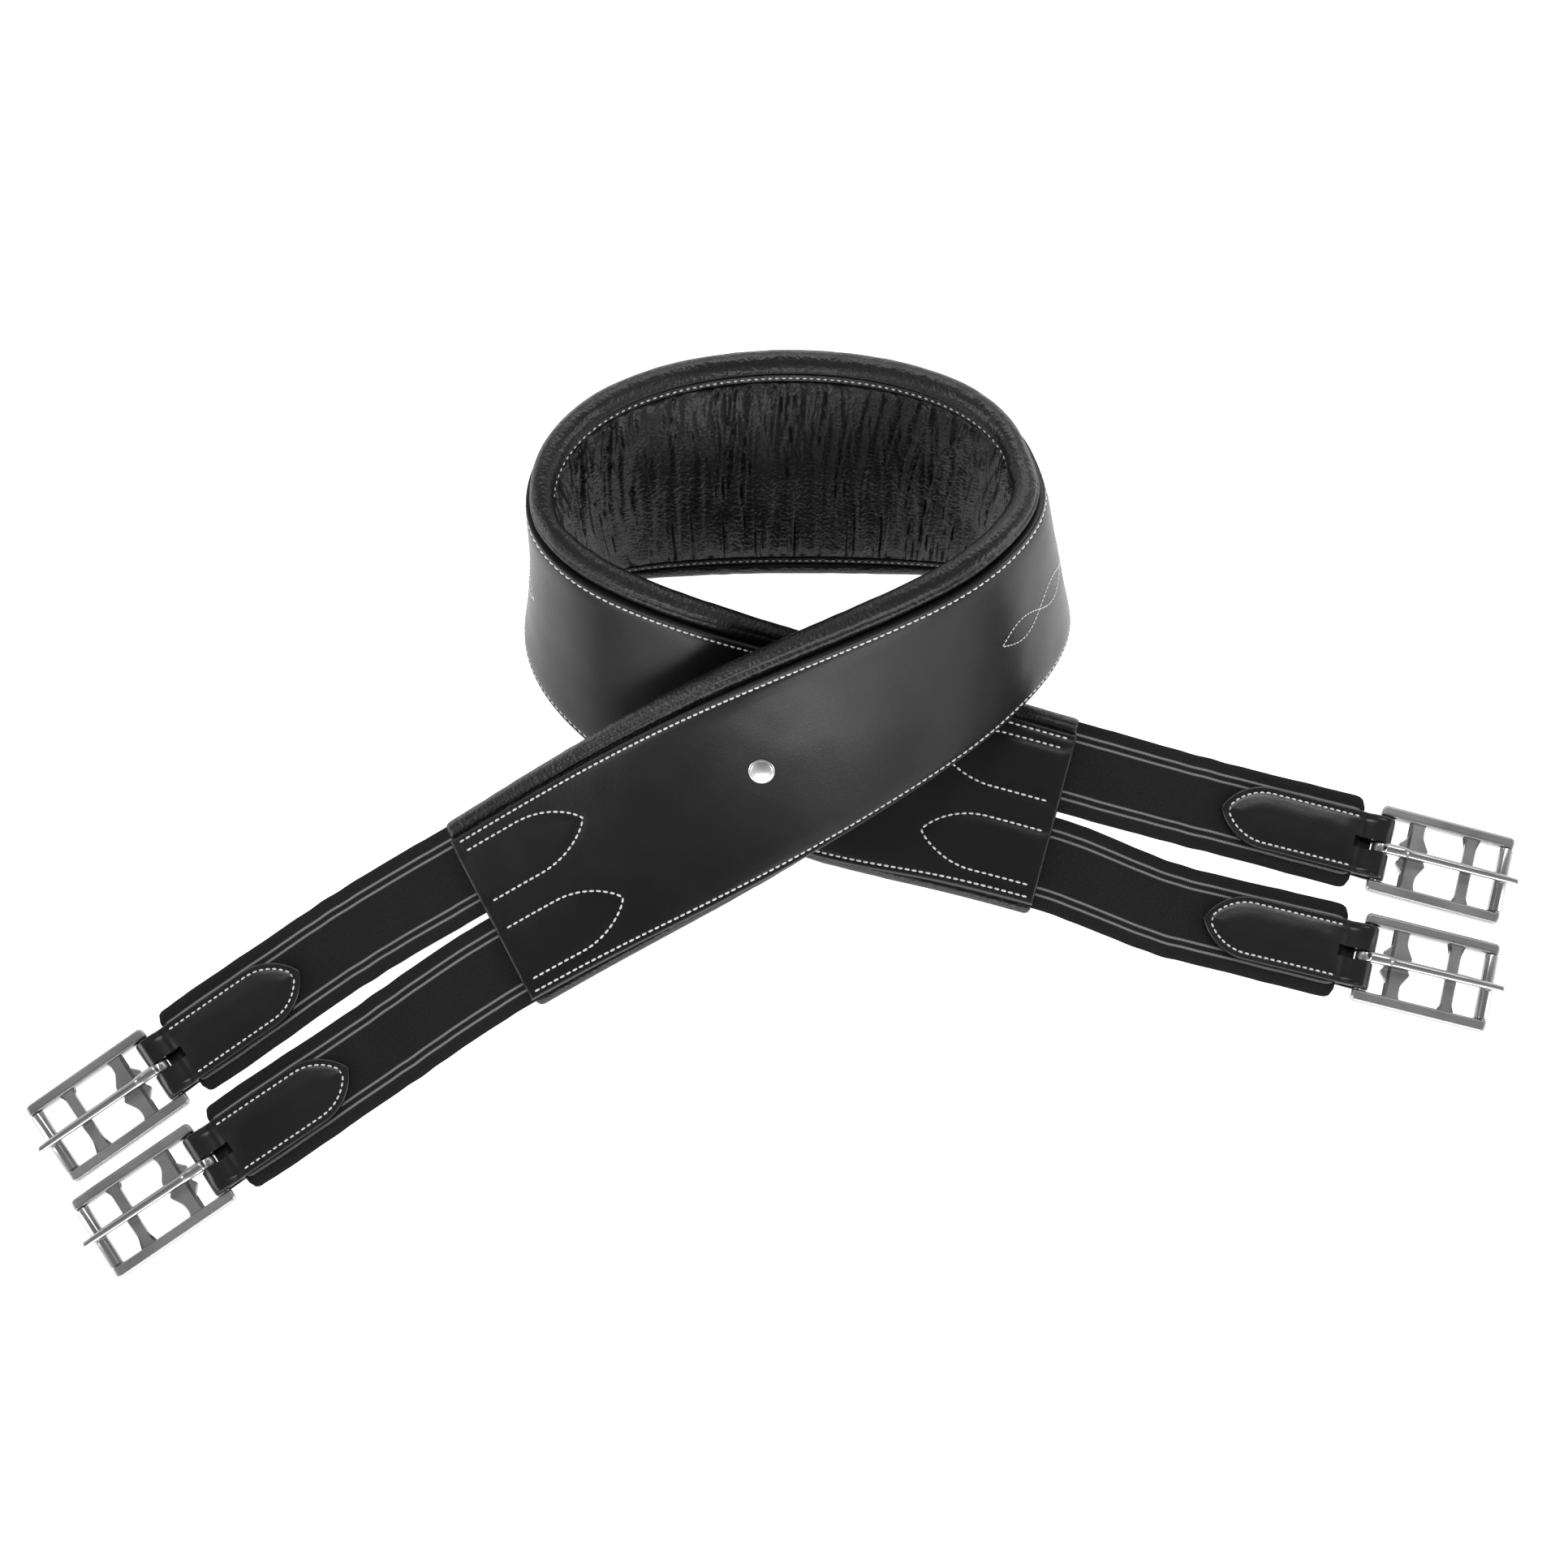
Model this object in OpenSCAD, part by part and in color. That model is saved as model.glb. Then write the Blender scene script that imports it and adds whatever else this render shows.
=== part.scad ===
// Padded leather girth with four elastic straps and roller buckles, lying in a loop.
// Millimetres, +Z up. The origin is under the middle of the whole girth, on the ground.

/* [Body] */
// Width of the body at each end, with its rolled edges
end_w = 86; // [80:1:92]
// Width of the body at its middle, with its rolled edges
mid_w = 106; // [98:1:112]
// Thickness of the outer leather
leather_t = 3; // [2:0.5:3.5]
// Thickness of the whole body
body_t = 13; // [12:0.5:14]
// How far the upper roll stands out past the outer leather
roll_out_up = 9; // [8.5:0.5:11]
// How far the lower roll stands out past the outer leather
roll_out_low = 2.5; // [2:0.5:4]
// Thickness of the lining leather
lining_t = 1.2; // [1:0.1:1.5]
// Width of the webbing core
core_w = 50; // [40:1:54]
// Thickness of the webbing core
core_t = 1.5; // [1.2:0.1:1.5]

/* [Straps] */
// Width of each elastic strap
strap_w = 40; // [36:1:40]
// Thickness of each elastic strap
strap_t = 2; // [1.6:0.1:2]
// Distance of a strap's middle from the body's middle line
strap_off = 21.2; // [20.5:0.1:22]

/* [Chapes] */
// Width of each chape
chape_w = 27; // [24:0.5:27]
// Thickness of the chape leather
chape_t = 2.4; // [2:0.1:2.5]
// Length of a chape from the buckle bar to its tip
chape_l = 68; // [60:1:72]
// Length of a chape's pointed end
point_l = 20; // [16:1:24]

/* [Buckles] */
// Outer width of the frame
frame_w = 38; // [36:1:40]
// Diameter of the frame's side rods
rod_d = 5; // [4:0.5:5.5]
// Diameter of the chape bar and of the end bar
bar_d = 3.2; // [3:0.1:3.4]
// Distance from the chape bar to the roller
roller_u = 51.5; // [50:0.5:54]
// Distance from the chape bar to the lobed bar
lobed_u = 14; // [13:0.5:15]
// Distance from the chape bar to the plain flat bar
plain_u = 36.5; // [35:0.5:38]
// Width of the flat bars
flat_w = 5; // [4:0.5:6]
// Thickness of the flat bars
flat_t = 3; // [2.5:0.5:3]
// Diameter of the roller
roller_d = 6; // [5.5:0.5:6.5]
// Diameter of the tongue where a strap's hole sits on it
tongue_d = 4; // [3.5:0.5:4]
// Diameter of the tongue's tip
tip_d = 3; // [2.5:0.5:3]
// Angle at which each buckle droops onto the ground
droop = 1.3; // [0:0.1:2]

/* [Stud] */
// Diameter of the rivet stud's cap
stud_d = 10.5; // [9:0.5:12]
// Height of the cap above the leather
stud_h = 2; // [1.5:0.5:3]

/* [Hidden] */
$fn = 48;

// The route of the outer face's middle line, from the left end round the loop to the right end:
// x, y, z and the tilt of the body's width from flat, in degrees.
stations = [
    [-122, -59, 15, 2], [-76, -35, 27, 9], [-6, -8, 56, 38], [46, 14, 70, 54],
    [89, 37, 76, 65], [115, 72, 65, 73], [109, 103, 53, 91], [74, 126, 46, 119],
    [0, 133, 43, 131], [-68, 125, 46, 119], [-99, 104, 49, 100], [-109, 73, 50, 81],
    [-87, 41, 51, 66], [-33, 16, 43, 48], [24, 2, 28, 22], [67, -3, 16, 2], [113, -16, 15, 1]];
last = len(stations) - 1;
// Moves the route so that the whole girth is centred and rests on the ground
origin_shift = [1.5, 23.5, 0.7];
// Each chape bar's middle, and the way its buckle points
bar_z = 4.2;
left_upper = [-254, -121, 216];
left_lower = [-233, -160, 215];
right_upper = [248, -29, -15];
right_lower = [239, -75, -14];

step = 0.25;
strap_steps = 3;
strap_lead = 6;
strap_gap = 9.6;
overlap = 0.5;
through = 1;
slot_q = leather_t + 0.4;
end_roll_r = 3.5;
up_roll_r = 5.5;
low_roll_r = 4.7;
lines = [for (k = [2:-1:-2]) k * core_w / 4];
gap = 0.2;
fold_gap = 0.15;
fold_r = bar_d / 2 + fold_gap;
fold_out = fold_r + chape_t;
fold_l = 5.5;
layer_z = strap_t / 2 + gap;
shoulder_d = 4.4;
neck_d = 3.2;
taper_d = 3.8;
slit_w = shoulder_d + 0.8;
slit_back = 12;
slit_l = 20;
slit_h = 18;
rod_v = (frame_w - rod_d) / 2;
inner_v = rod_v - rod_d / 2;
run_gap = 0.06;
eye_w = tongue_d;
eye_d = 7;
lobe_l = 11;
lobe_v = 3.4;
waist_u = 4;
shoulder_u = 3.6;
shoulder_v = 7;
stem_v = 9;
shank_z = 3.9;
shank_rise = 0.8;
shoulder_end = 11;
land_start = 22;
land_end = 32;
tip_start = 48;
tip_end = 57;
stud_u = 2;
stud_post_d = 3;
stud_rim = 0.6;
stud_lift = 0.3;
washer_d = 9;
washer_q = 5.3;
washer_t = 0.9;

// ---- The body's curve ----

function padded(p) = concat([2 * p[0] - p[1]], p, [2 * p[last] - p[last - 1]]);
ctrl = padded(stations);

function span(u) = min(floor(u), last - 1);

// A smooth cubic through the stations, and its slope
function curve(i, t) = ((1 - t) ^ 3 * ctrl[i] + (3 * t ^ 3 - 6 * t ^ 2 + 4) * ctrl[i + 1]
    + (-3 * t ^ 3 + 3 * t ^ 2 + 3 * t + 1) * ctrl[i + 2] + t ^ 3 * ctrl[i + 3]) / 6;
function slope(i, t) = (-3 * (1 - t) ^ 2 * ctrl[i] + (9 * t ^ 2 - 12 * t) * ctrl[i + 1]
    + (-9 * t ^ 2 + 6 * t + 3) * ctrl[i + 2] + 3 * t ^ 2 * ctrl[i + 3]) / 6;
function at(u) = curve(span(u), u - span(u));
function xyz(p) = [p[0], p[1], p[2]];
function unit(v) = v / norm(v);
function middle(u) = xyz(at(u)) + origin_shift;
function along(u) = unit(xyz(slope(span(u), u - span(u))));

// The way the width points: the route's left side, tilted up, square to the route
function tilted(t, a) = cos(a) * unit([-t[1], t[0], 0]) + sin(a) * [0, 0, 1];
function across(u) = let (t = along(u), w = tilted(t, at(u)[3])) unit(w - (w * t) * t);
function outward(u) = cross(along(u), across(u));
function body_w(u) = end_w + (mid_w - end_w) * cos(90 * (2 * u / last - 1)) ^ 2;

// A point of the body: x across from the middle line, q deep below the outer face
function body_point(u, x, q) = middle(u) + x * across(u) - q * outward(u);

// ---- Cross sections, as [x, q] points ----

// Blend from 0 at the ends to 1 along the body, where the rolls reach their full size
function ease(a) = a * a * (3 - 2 * a);
function swell(u) = ease(min(1, max(0, min(u, last - u) - 0.8)));
function up_r(u) = end_roll_r + (up_roll_r - end_roll_r) * swell(u);
function low_r(u) = end_roll_r + (low_roll_r - end_roll_r) * swell(u);

// Points at one depth on the lines that all layers share, so that their facets stay parallel
function row(q) = [for (x = lines) [x, q]];
function row_back(q) = [for (x = lines) [-x, q]];

function leather_section(u) = let (w = body_w(u) / 2, up = w - roll_out_up, low = roll_out_low - w)
    concat([[up, 0.6], [up, leather_t]], row(leather_t), [[low, leather_t], [low, 0.6]],
        [[low + 0.6, 0]], row_back(0), [[up - 0.6, 0]]);

// One rolled edge: side is 1 for the upper edge and -1 for the lower edge
function roll(u, side, r, inset, from, to) = let (w = body_w(u) / 2, n = 4)
    [for (k = [0:n]) let (a = from + (to - from) * k / n)
        [side * (w - r + (r - inset) * cos(a)), body_t - r - (r - inset) * sin(a)]];

function lining_section(u) = concat(
    roll(u, 1, up_r(u), 0, 150, -90), row(body_t), roll(u, -1, low_r(u), 0, -90, 150),
    roll(u, -1, low_r(u), lining_t, 150, -90), row_back(body_t - lining_t),
    roll(u, 1, up_r(u), lining_t, -90, 150));
function foam_section(u) = let (inset = lining_t + gap, top = 8.2 - swell(u)) concat(
    roll(u, 1, up_r(u), inset, 150, -90), row(body_t - inset),
    roll(u, -1, low_r(u), inset, -90, 150), row_back(top));
function core_section(u) = concat(row_back(slot_q), row(slot_q + core_t));

// ---- Solids swept from rings of points ----

module skin_rings(rings) {
    k = len(rings[0]);
    m = len(rings);
    points = [for (ring = rings) for (p = ring) p];
    sides = [for (i = [0:m - 2]) for (j = [0:k - 1])
        let (a = i * k + j, b = i * k + (j + 1) % k, c = a + k, d = b + k)
        each norm(points[a] - points[d]) < norm(points[b] - points[c])
            ? [[a, b, d], [a, d, c]] : [[a, b, c], [b, d, c]]];
    caps = [[for (j = [k - 1:-1:0]) j], [for (j = [0:k - 1]) (m - 1) * k + j]];
    polyhedron(points, concat(sides, caps), convexity = 10);
}

function placed(u, section) = [for (p = section) body_point(u, p[0], p[1])];

module at_stud() {
    x = along(stud_u);
    y = across(stud_u);
    z = outward(stud_u);
    o = middle(stud_u);
    multmatrix([[x[0], y[0], z[0], o[0]], [x[1], y[1], z[1], o[1]], [x[2], y[2], z[2], o[2]]])
        children();
}

// The stud's hole, through everything above the washer
module stud_hole() at_stud() translate([0, 0, -washer_q - washer_t])
    cylinder(d = stud_post_d + 2 * run_gap, h = washer_q + washer_t + 2 * stud_h);

// ---- Body ----

module outer_leather() color("#1b1b1c") difference() {
    skin_rings([for (u = [0:step:last]) placed(u, leather_section(u))]);
    stud_hole();
}

module lining_leather() color("#232324")
    skin_rings([for (u = [0:step:last]) placed(u, lining_section(u))]);

module foam_pad() color("#5a5a5c")
    skin_rings([for (u = [0:step:last]) placed(u, foam_section(u))]);

module web_core() color("#3a3a3c") difference() {
    skin_rings([for (u = [1.25:step:last - 1.25]) placed(u, core_section(u))]);
    stud_hole();
}

// A domed cap on a post through the leather and the core
module rivet_stud() color("#b9babc") at_stud() {
    dome_h = stud_h - stud_rim;
    dome_r = (stud_d ^ 2 / 4 + dome_h ^ 2) / (2 * dome_h);
    translate([0, 0, stud_lift]) cylinder(d = stud_d, h = stud_rim);
    translate([0, 0, stud_lift + stud_rim]) intersection() {
        cylinder(d = stud_d, h = stud_h);
        translate([0, 0, dome_h - dome_r]) sphere(r = dome_r, $fn = 96);
    }
    translate([0, 0, -washer_q - washer_t])
        cylinder(d = stud_post_d, h = washer_q + washer_t + stud_lift + stud_rim / 2);
}

module rivet_washer() color("#b9babc") at_stud()
    translate([0, 0, -washer_q - washer_t]) difference() {
        cylinder(d = washer_d, h = washer_t);
        translate([0, 0, -through]) cylinder(d = stud_post_d + 2 * run_gap, h = washer_t + 2 * through);
    }

// ---- Elastic straps ----

// Ring of points round a strap's section: four strips wide, above and below, thinner at its edges
function half_t(k) = 0.5 - 0.03 * k * k;
strap_ring_points = concat([for (k = [2:-1:-2]) [k / 4, -half_t(k)]],
    [for (k = [-2:2]) [k / 4, half_t(k)]]);
function strap_ring(p, side, up) = [for (c = strap_ring_points)
    p + c[0] * strap_w * side + c[1] * strap_t * up];
function bezier(a, b, c, d, t) = (1 - t) ^ 3 * a + 3 * t * (1 - t) ^ 2 * b
    + 3 * t ^ 2 * (1 - t) * c + t ^ 3 * d;
function heading(b) = [cos(b[2]), sin(b[2]), 0];
function bar_at(b) = [b[0], b[1], bar_z] + [origin_shift[0], origin_shift[1], 0];

// A strap from inside the body, out over its end and down to the chape. It stops short of the bar,
// clear of the tongue when that is swung right back.
// end is 0 for the left end and last for the right; way is 1 or -1 along the route.
module strap(b, end, way, side) {
    q = slot_q + strap_t / 2;
    d = heading(b);
    flat = way * [-d[1], d[0], 0];
    start = body_point(end, side * strap_off, q);
    stop = bar_at(b) - (chape_l + strap_lead) * d;
    inside = [for (k = [0:strap_steps]) let (u = end - way * step * (strap_steps - k))
        strap_ring(body_point(u, side * strap_off, q), across(u), outward(u))];
    reach = norm(stop - start) / 3;
    free = [for (k = [1:10]) let (t = k / 10)
        strap_ring(bezier(start, start + way * along(end) * reach, stop - d * reach, stop, t),
            unit(across(end) * (1 - t) + flat * t), unit(outward(end) * (1 - t) + [0, 0, 1] * t))];
    under = [strap_ring(bar_at(b) - strap_gap * d, flat, [0, 0, 1])];
    rings = concat(inside, free, under);
    skin_rings(way > 0 ? rings : [for (k = [len(rings) - 1:-1:0]) rings[k]]);
}

module elastic_left_upper() color("#2b2b2d") strap(left_upper, 0, -1, 1);
module elastic_left_lower() color("#2b2b2d") strap(left_lower, 0, -1, -1);
module elastic_right_upper() color("#2b2b2d") strap(right_upper, last, 1, 1);
module elastic_right_lower() color("#2b2b2d") strap(right_lower, last, 1, -1);

// ---- Chapes, frames, tongues and rollers, drawn from the chape bar along +X ----

module at_bar(b) translate(bar_at(b)) rotate([0, 0, b[2]]) children();
module at_frame(b) at_bar(b) rotate([0, droop, 0]) children();

// Outline of a chape: straight sides and a pointed arch
module chape_outline() {
    r = (point_l ^ 2 + chape_w ^ 2 / 4) / chape_w;
    translate([-(chape_l - point_l), -chape_w / 2]) square([chape_l - point_l - fold_l + overlap, chape_w]);
    intersection() {
        translate([-(chape_l - point_l), chape_w / 2 - r]) circle(r, $fn = 96);
        translate([-(chape_l - point_l), r - chape_w / 2]) circle(r, $fn = 96);
        translate([-chape_l - 2 * overlap, -chape_w / 2]) square([point_l + 3 * overlap, chape_w]);
    }
}

module chape(b) color("#1d1d1e") at_bar(b) difference() {
    union() {
        translate([0, 0, layer_z]) linear_extrude(chape_t) chape_outline();
        translate([0, 0, -layer_z - chape_t]) linear_extrude(chape_t) chape_outline();
        difference() {
            union() {
                rotate([90, 0, 0]) cylinder(r = fold_out, h = chape_w, center = true);
                translate([-fold_l, -chape_w / 2, -fold_out]) cube([fold_l, chape_w, 2 * fold_out]);
            }
            rotate([90, 0, 0]) cylinder(r = fold_r, h = 2 * chape_w, center = true);
            translate([-2 * fold_l, -chape_w, -fold_r]) cube([2 * fold_l, 2 * chape_w, 2 * fold_r]);
        }
    }
    translate([-slit_back, -slit_w / 2, -slit_h / 2]) cube([slit_l, slit_w, slit_h]);
}

module chape_left_upper() chape(left_upper);
module chape_left_lower() chape(left_lower);
module chape_right_upper() chape(right_upper);
module chape_right_lower() chape(right_lower);

// Half of the lobed bar: narrow at the rod and bell shaped towards the tongue
module lobe_half() translate([lobed_u, 0, -flat_t / 2]) linear_extrude(flat_t)
    polygon([[-flat_w / 2, inner_v + 1], [-flat_w / 2, stem_v], [-shoulder_u, shoulder_v],
        [-lobe_l / 2, lobe_v], [-waist_u, 0], [waist_u, 0], [lobe_l / 2, lobe_v],
        [shoulder_u, shoulder_v], [flat_w / 2, stem_v], [flat_w / 2, inner_v + 1]]);

// A side rod with round ends, turned in one piece
module side_rod() rotate([0, 90, 0]) rotate_extrude() intersection() {
    union() {
        circle(d = rod_d);
        translate([0, roller_u]) circle(d = rod_d);
        translate([-rod_d / 2, 0]) square([rod_d, roller_u]);
    }
    translate([0, -rod_d]) square([rod_d, roller_u + 2 * rod_d]);
}

module frame(b) color("#a9abad") at_frame(b) {
    for (side = [-1, 1]) translate([0, side * rod_v, 0]) side_rod();
    rotate([90, 0, 0]) cylinder(d = bar_d, h = 2 * rod_v, center = true);
    translate([roller_u, 0, 0]) rotate([90, 0, 0]) cylinder(d = bar_d, h = 2 * rod_v, center = true);
    translate([plain_u - flat_w / 2, -rod_v, -flat_t / 2]) cube([flat_w, 2 * rod_v, flat_t]);
    lobe_half();
    mirror([0, 1, 0]) lobe_half();
}

module frame_left_upper() frame(left_upper);
module frame_left_lower() frame(left_lower);
module frame_right_upper() frame(right_upper);
module frame_right_lower() frame(right_lower);

// A shank on an eye that turns on the chape bar. It narrows from a shoulder to a neck, has a
// parallel land for the strap's hole and then a taper, and its tip rests over the roller.
module tongue(b) color("#c4c6c8") at_frame(b) {
    rise = atan(shank_rise / roller_u);
    difference() {
        union() {
            rotate([90, 0, 0]) cylinder(d = eye_d, h = eye_w, center = true);
            translate([0, 0, shank_z]) rotate([0, 90 - rise, 0]) {
                cylinder(d = shoulder_d, h = shoulder_end);
                translate([0, 0, shoulder_end])
                    cylinder(d1 = shoulder_d, d2 = neck_d, h = land_start - shoulder_end);
                translate([0, 0, land_start]) cylinder(d = tongue_d, h = land_end - land_start);
                translate([0, 0, land_end])
                    cylinder(d1 = taper_d, d2 = tip_d, h = tip_start - land_end);
                translate([0, 0, tip_start]) cylinder(d = tip_d, h = tip_end - tip_start);
                translate([0, 0, tip_end]) sphere(d = tip_d);
            }
            translate([0, 0, shank_z]) sphere(d = shoulder_d);
        }
        rotate([90, 0, 0]) cylinder(d = bar_d + 2 * run_gap, h = 2 * eye_w, center = true);
    }
}

module tongue_left_upper() tongue(left_upper);
module tongue_left_lower() tongue(left_lower);
module tongue_right_upper() tongue(right_upper);
module tongue_right_lower() tongue(right_lower);

module roller(b) color("#b4b6b8") at_frame(b)
    translate([roller_u, 0, 0]) rotate([90, 0, 0]) difference() {
        cylinder(d = roller_d, h = 2 * inner_v - 0.6, center = true);
        cylinder(d = bar_d + 2 * run_gap, h = frame_w, center = true);
    }

module roller_left_upper() roller(left_upper);
module roller_left_lower() roller(left_lower);
module roller_right_upper() roller(right_upper);
module roller_right_lower() roller(right_lower);

outer_leather();
lining_leather();
foam_pad();
web_core();
rivet_stud();
rivet_washer();
elastic_left_upper();
elastic_left_lower();
elastic_right_upper();
elastic_right_lower();
chape_left_upper();
chape_left_lower();
chape_right_upper();
chape_right_lower();
frame_left_upper();
frame_left_lower();
frame_right_upper();
frame_right_lower();
tongue_left_upper();
tongue_left_lower();
tongue_right_upper();
tongue_right_lower();
roller_left_upper();
roller_left_lower();
roller_right_upper();
roller_right_lower();
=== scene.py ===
"""Looks of a padded leather girth with four elastic straps and roller buckles, lying in a loop."""
import math

import bmesh
import bpy
import numpy as np
from mathutils import Matrix, Vector


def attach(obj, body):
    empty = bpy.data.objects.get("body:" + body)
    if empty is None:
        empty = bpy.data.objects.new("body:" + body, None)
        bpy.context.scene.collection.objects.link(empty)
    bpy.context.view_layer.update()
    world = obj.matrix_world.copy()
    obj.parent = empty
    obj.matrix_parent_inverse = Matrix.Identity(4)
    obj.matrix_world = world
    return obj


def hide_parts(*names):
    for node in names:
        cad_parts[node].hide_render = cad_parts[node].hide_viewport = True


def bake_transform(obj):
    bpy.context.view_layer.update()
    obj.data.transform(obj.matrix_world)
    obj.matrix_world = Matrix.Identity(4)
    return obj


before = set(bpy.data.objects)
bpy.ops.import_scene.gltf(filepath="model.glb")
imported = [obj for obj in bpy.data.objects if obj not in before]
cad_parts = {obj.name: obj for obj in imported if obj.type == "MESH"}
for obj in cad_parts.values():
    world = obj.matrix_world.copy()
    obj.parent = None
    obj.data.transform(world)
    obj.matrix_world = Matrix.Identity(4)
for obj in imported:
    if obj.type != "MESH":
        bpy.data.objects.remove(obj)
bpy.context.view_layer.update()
MM = 0.001

# ---- Camera, at the photograph's angle ----

camera = bpy.data.objects.new("camera", bpy.data.cameras.new("camera"))
bpy.context.scene.collection.objects.link(camera)
camera.data.lens = 65
camera.data.sensor_width = 36
camera.location = (0.0015, -0.2845, 1.1502)
camera.rotation_euler = (math.radians(15), 0, 0)
bpy.context.scene.camera = camera

# ---- The body's route, as in the CAD source, in millimetres ----

# x, y, z and the tilt of the body's width from flat, in degrees
STATIONS = np.array([
    [-122, -59, 15, 2], [-76, -35, 27, 9], [-6, -8, 56, 38], [46, 14, 70, 54],
    [89, 37, 76, 65], [115, 72, 65, 73], [109, 103, 53, 91], [74, 126, 46, 119],
    [0, 133, 43, 131], [-68, 125, 46, 119], [-99, 104, 49, 100], [-109, 73, 50, 81],
    [-87, 41, 51, 66], [-33, 16, 43, 48], [24, 2, 28, 22], [67, -3, 16, 2],
    [113, -16, 15, 1]], float)
LAST = len(STATIONS) - 1
SHIFT = np.array([1.5, 23.5, 0.7])
CTRL = np.vstack([2 * STATIONS[0] - STATIONS[1], STATIONS, 2 * STATIONS[-1] - STATIONS[-2]])
END_W, MID_W = 86, 106
LEATHER_T, BODY_T = 3, 13
# How far the upper and the lower roll stand out past the outer leather
OUT_UP, OUT_LOW = 9, 2.5
# Radii of the lower roll at the body's ends, of the upper roll, and of the lower roll elsewhere
END_R, UP_R, LOW_R = 3.5, 5.5, 4.7
# Width, thickness, distance from the middle line and depth below the outer face
STRAP_W, STRAP_T, STRAP_OFF, STRAP_Q = 40, 2, 21.2, 4.4
# How far in front of the chape's tip a strap runs straight, and how far behind the bar it ends
STRAP_LEAD, STRAP_GAP = 6, 9.6
BAR_Z, DROOP = 4.2, 1.3
CHAPE_W, CHAPE_L, POINT_L = 27, 68, 20
# Each chape bar's x and y, and the way its buckle points, in degrees
BUCKLES = {"left_upper": (-254, -121, 216), "left_lower": (-233, -160, 215),
           "right_upper": (248, -29, -15), "right_lower": (239, -75, -14)}


def unit(v):
    """Vectors of length 1."""
    return v / np.linalg.norm(v, axis=-1, keepdims=True)


def ease(a):
    """0 below 0, 1 above 1, and a smooth step between."""
    a = np.clip(a, 0, 1)
    return a * a * (3 - 2 * a)


def bump(d, width):
    """A smooth hump of height 1 where d is 0."""
    return np.exp(-(d / width) ** 2)


def route(u):
    """Middle, forward, across and outward directions at each u."""
    u = np.asarray(u, float)
    i = np.clip(np.floor(u).astype(int), 0, LAST - 1)
    t = (u - i)[..., None]
    a, b, c, d = (CTRL[i + k] for k in range(4))
    at = ((1 - t) ** 3 * a + (3 * t ** 3 - 6 * t ** 2 + 4) * b
          + (-3 * t ** 3 + 3 * t ** 2 + 3 * t + 1) * c + t ** 3 * d) / 6
    slope = (-3 * (1 - t) ** 2 * a + (9 * t ** 2 - 12 * t) * b
             + (-9 * t ** 2 + 6 * t + 3) * c + 3 * t ** 2 * d)[..., :3]
    forward = unit(slope)
    tilt = np.radians(at[..., 3:4])
    flat = unit(np.stack([-forward[..., 1], forward[..., 0], 0 * forward[..., 0]], -1))
    width = np.cos(tilt) * flat + np.sin(tilt) * np.array([0, 0, 1.0])
    width = unit(width - (width * forward).sum(-1, keepdims=True) * forward)
    return at[..., :3] + SHIFT, forward, width, np.cross(forward, width)


def half_w(u):
    """Half the body's width."""
    return (END_W + (MID_W - END_W) * np.cos(np.radians(90 * (2 * u / LAST - 1))) ** 2) / 2


def swell(u):
    """0 at the body's flatter ends, 1 along the rest of it."""
    return ease(np.minimum(u, LAST - u) - 0.8)


def low_r(u):
    """Radius of the lower roll."""
    return END_R + (LOW_R - END_R) * swell(u)


def placed(u, x, q):
    """Points x across and q deep below the outer face.

    x and q have the same axes as u, or one more.
    """
    mid, _, width, out = route(u)
    if np.ndim(x) > np.ndim(u):
        mid, width, out = mid[..., None, :], width[..., None, :], out[..., None, :]
    return mid + x[..., None] * width - q[..., None] * out


FINE_U = np.linspace(0, LAST, 3201)
FINE_S = np.concatenate([[0], np.cumsum(np.linalg.norm(np.diff(route(FINE_U)[0], axis=0), axis=1))])
LENGTH = FINE_S[-1]


def u_at(s):
    """The route's u at length s along it."""
    return np.interp(s, FINE_S, FINE_U)


NOISE = np.random.RandomState(7).uniform(-1, 1, (64, 64))


def noise(a, b, seed=0):
    """Smooth noise from -1 to 1, drawn at each whole a and b; each seed reads another place."""
    i, j = np.floor(a).astype(int), np.floor(b).astype(int)
    f, g = ease(a - i), ease(b - j)

    def t(di, dj):
        return NOISE[(i + di + 17 * seed) % 64, (j + dj + 29 * seed) % 64]

    return (t(0, 0) * (1 - f) + t(1, 0) * f) * (1 - g) + (t(0, 1) * (1 - f) + t(1, 1) * f) * g


# ---- Mesh helpers; everything is worked out in millimetres ----

def make(name, verts, faces, materials, sharp=38, recalc=True, attributes=None):
    """A new object from points in millimetres and a list of faces or of face arrays."""
    mesh = bpy.data.meshes.new(name)
    rows = []
    for f in faces:
        rows.extend(f.tolist() if isinstance(f, np.ndarray) else [list(f)])
    mesh.from_pydata((np.asarray(verts, float) * MM).tolist(), [], rows)
    for key, value in (attributes or {}).items():
        value = np.asarray(value, np.float32)
        kind = "FLOAT" if value.ndim == 1 else "FLOAT_VECTOR"
        layer = mesh.attributes.new(key, kind, "POINT")
        layer.data.foreach_set("value" if value.ndim == 1 else "vector", value.ravel())
    bm = bmesh.new()
    bm.from_mesh(mesh)
    bmesh.ops.delete(bm, geom=[v for v in bm.verts if not v.link_faces], context="VERTS")
    if recalc:
        bmesh.ops.recalc_face_normals(bm, faces=bm.faces)
    bm.to_mesh(mesh)
    bm.free()
    for m in materials if isinstance(materials, (list, tuple)) else [materials]:
        mesh.materials.append(m)
    mesh.shade_smooth()
    mesh.set_sharp_from_angle(angle=math.radians(sharp))
    obj = bpy.data.objects.new(name, mesh)
    bpy.context.scene.collection.objects.link(obj)
    return obj


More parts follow.
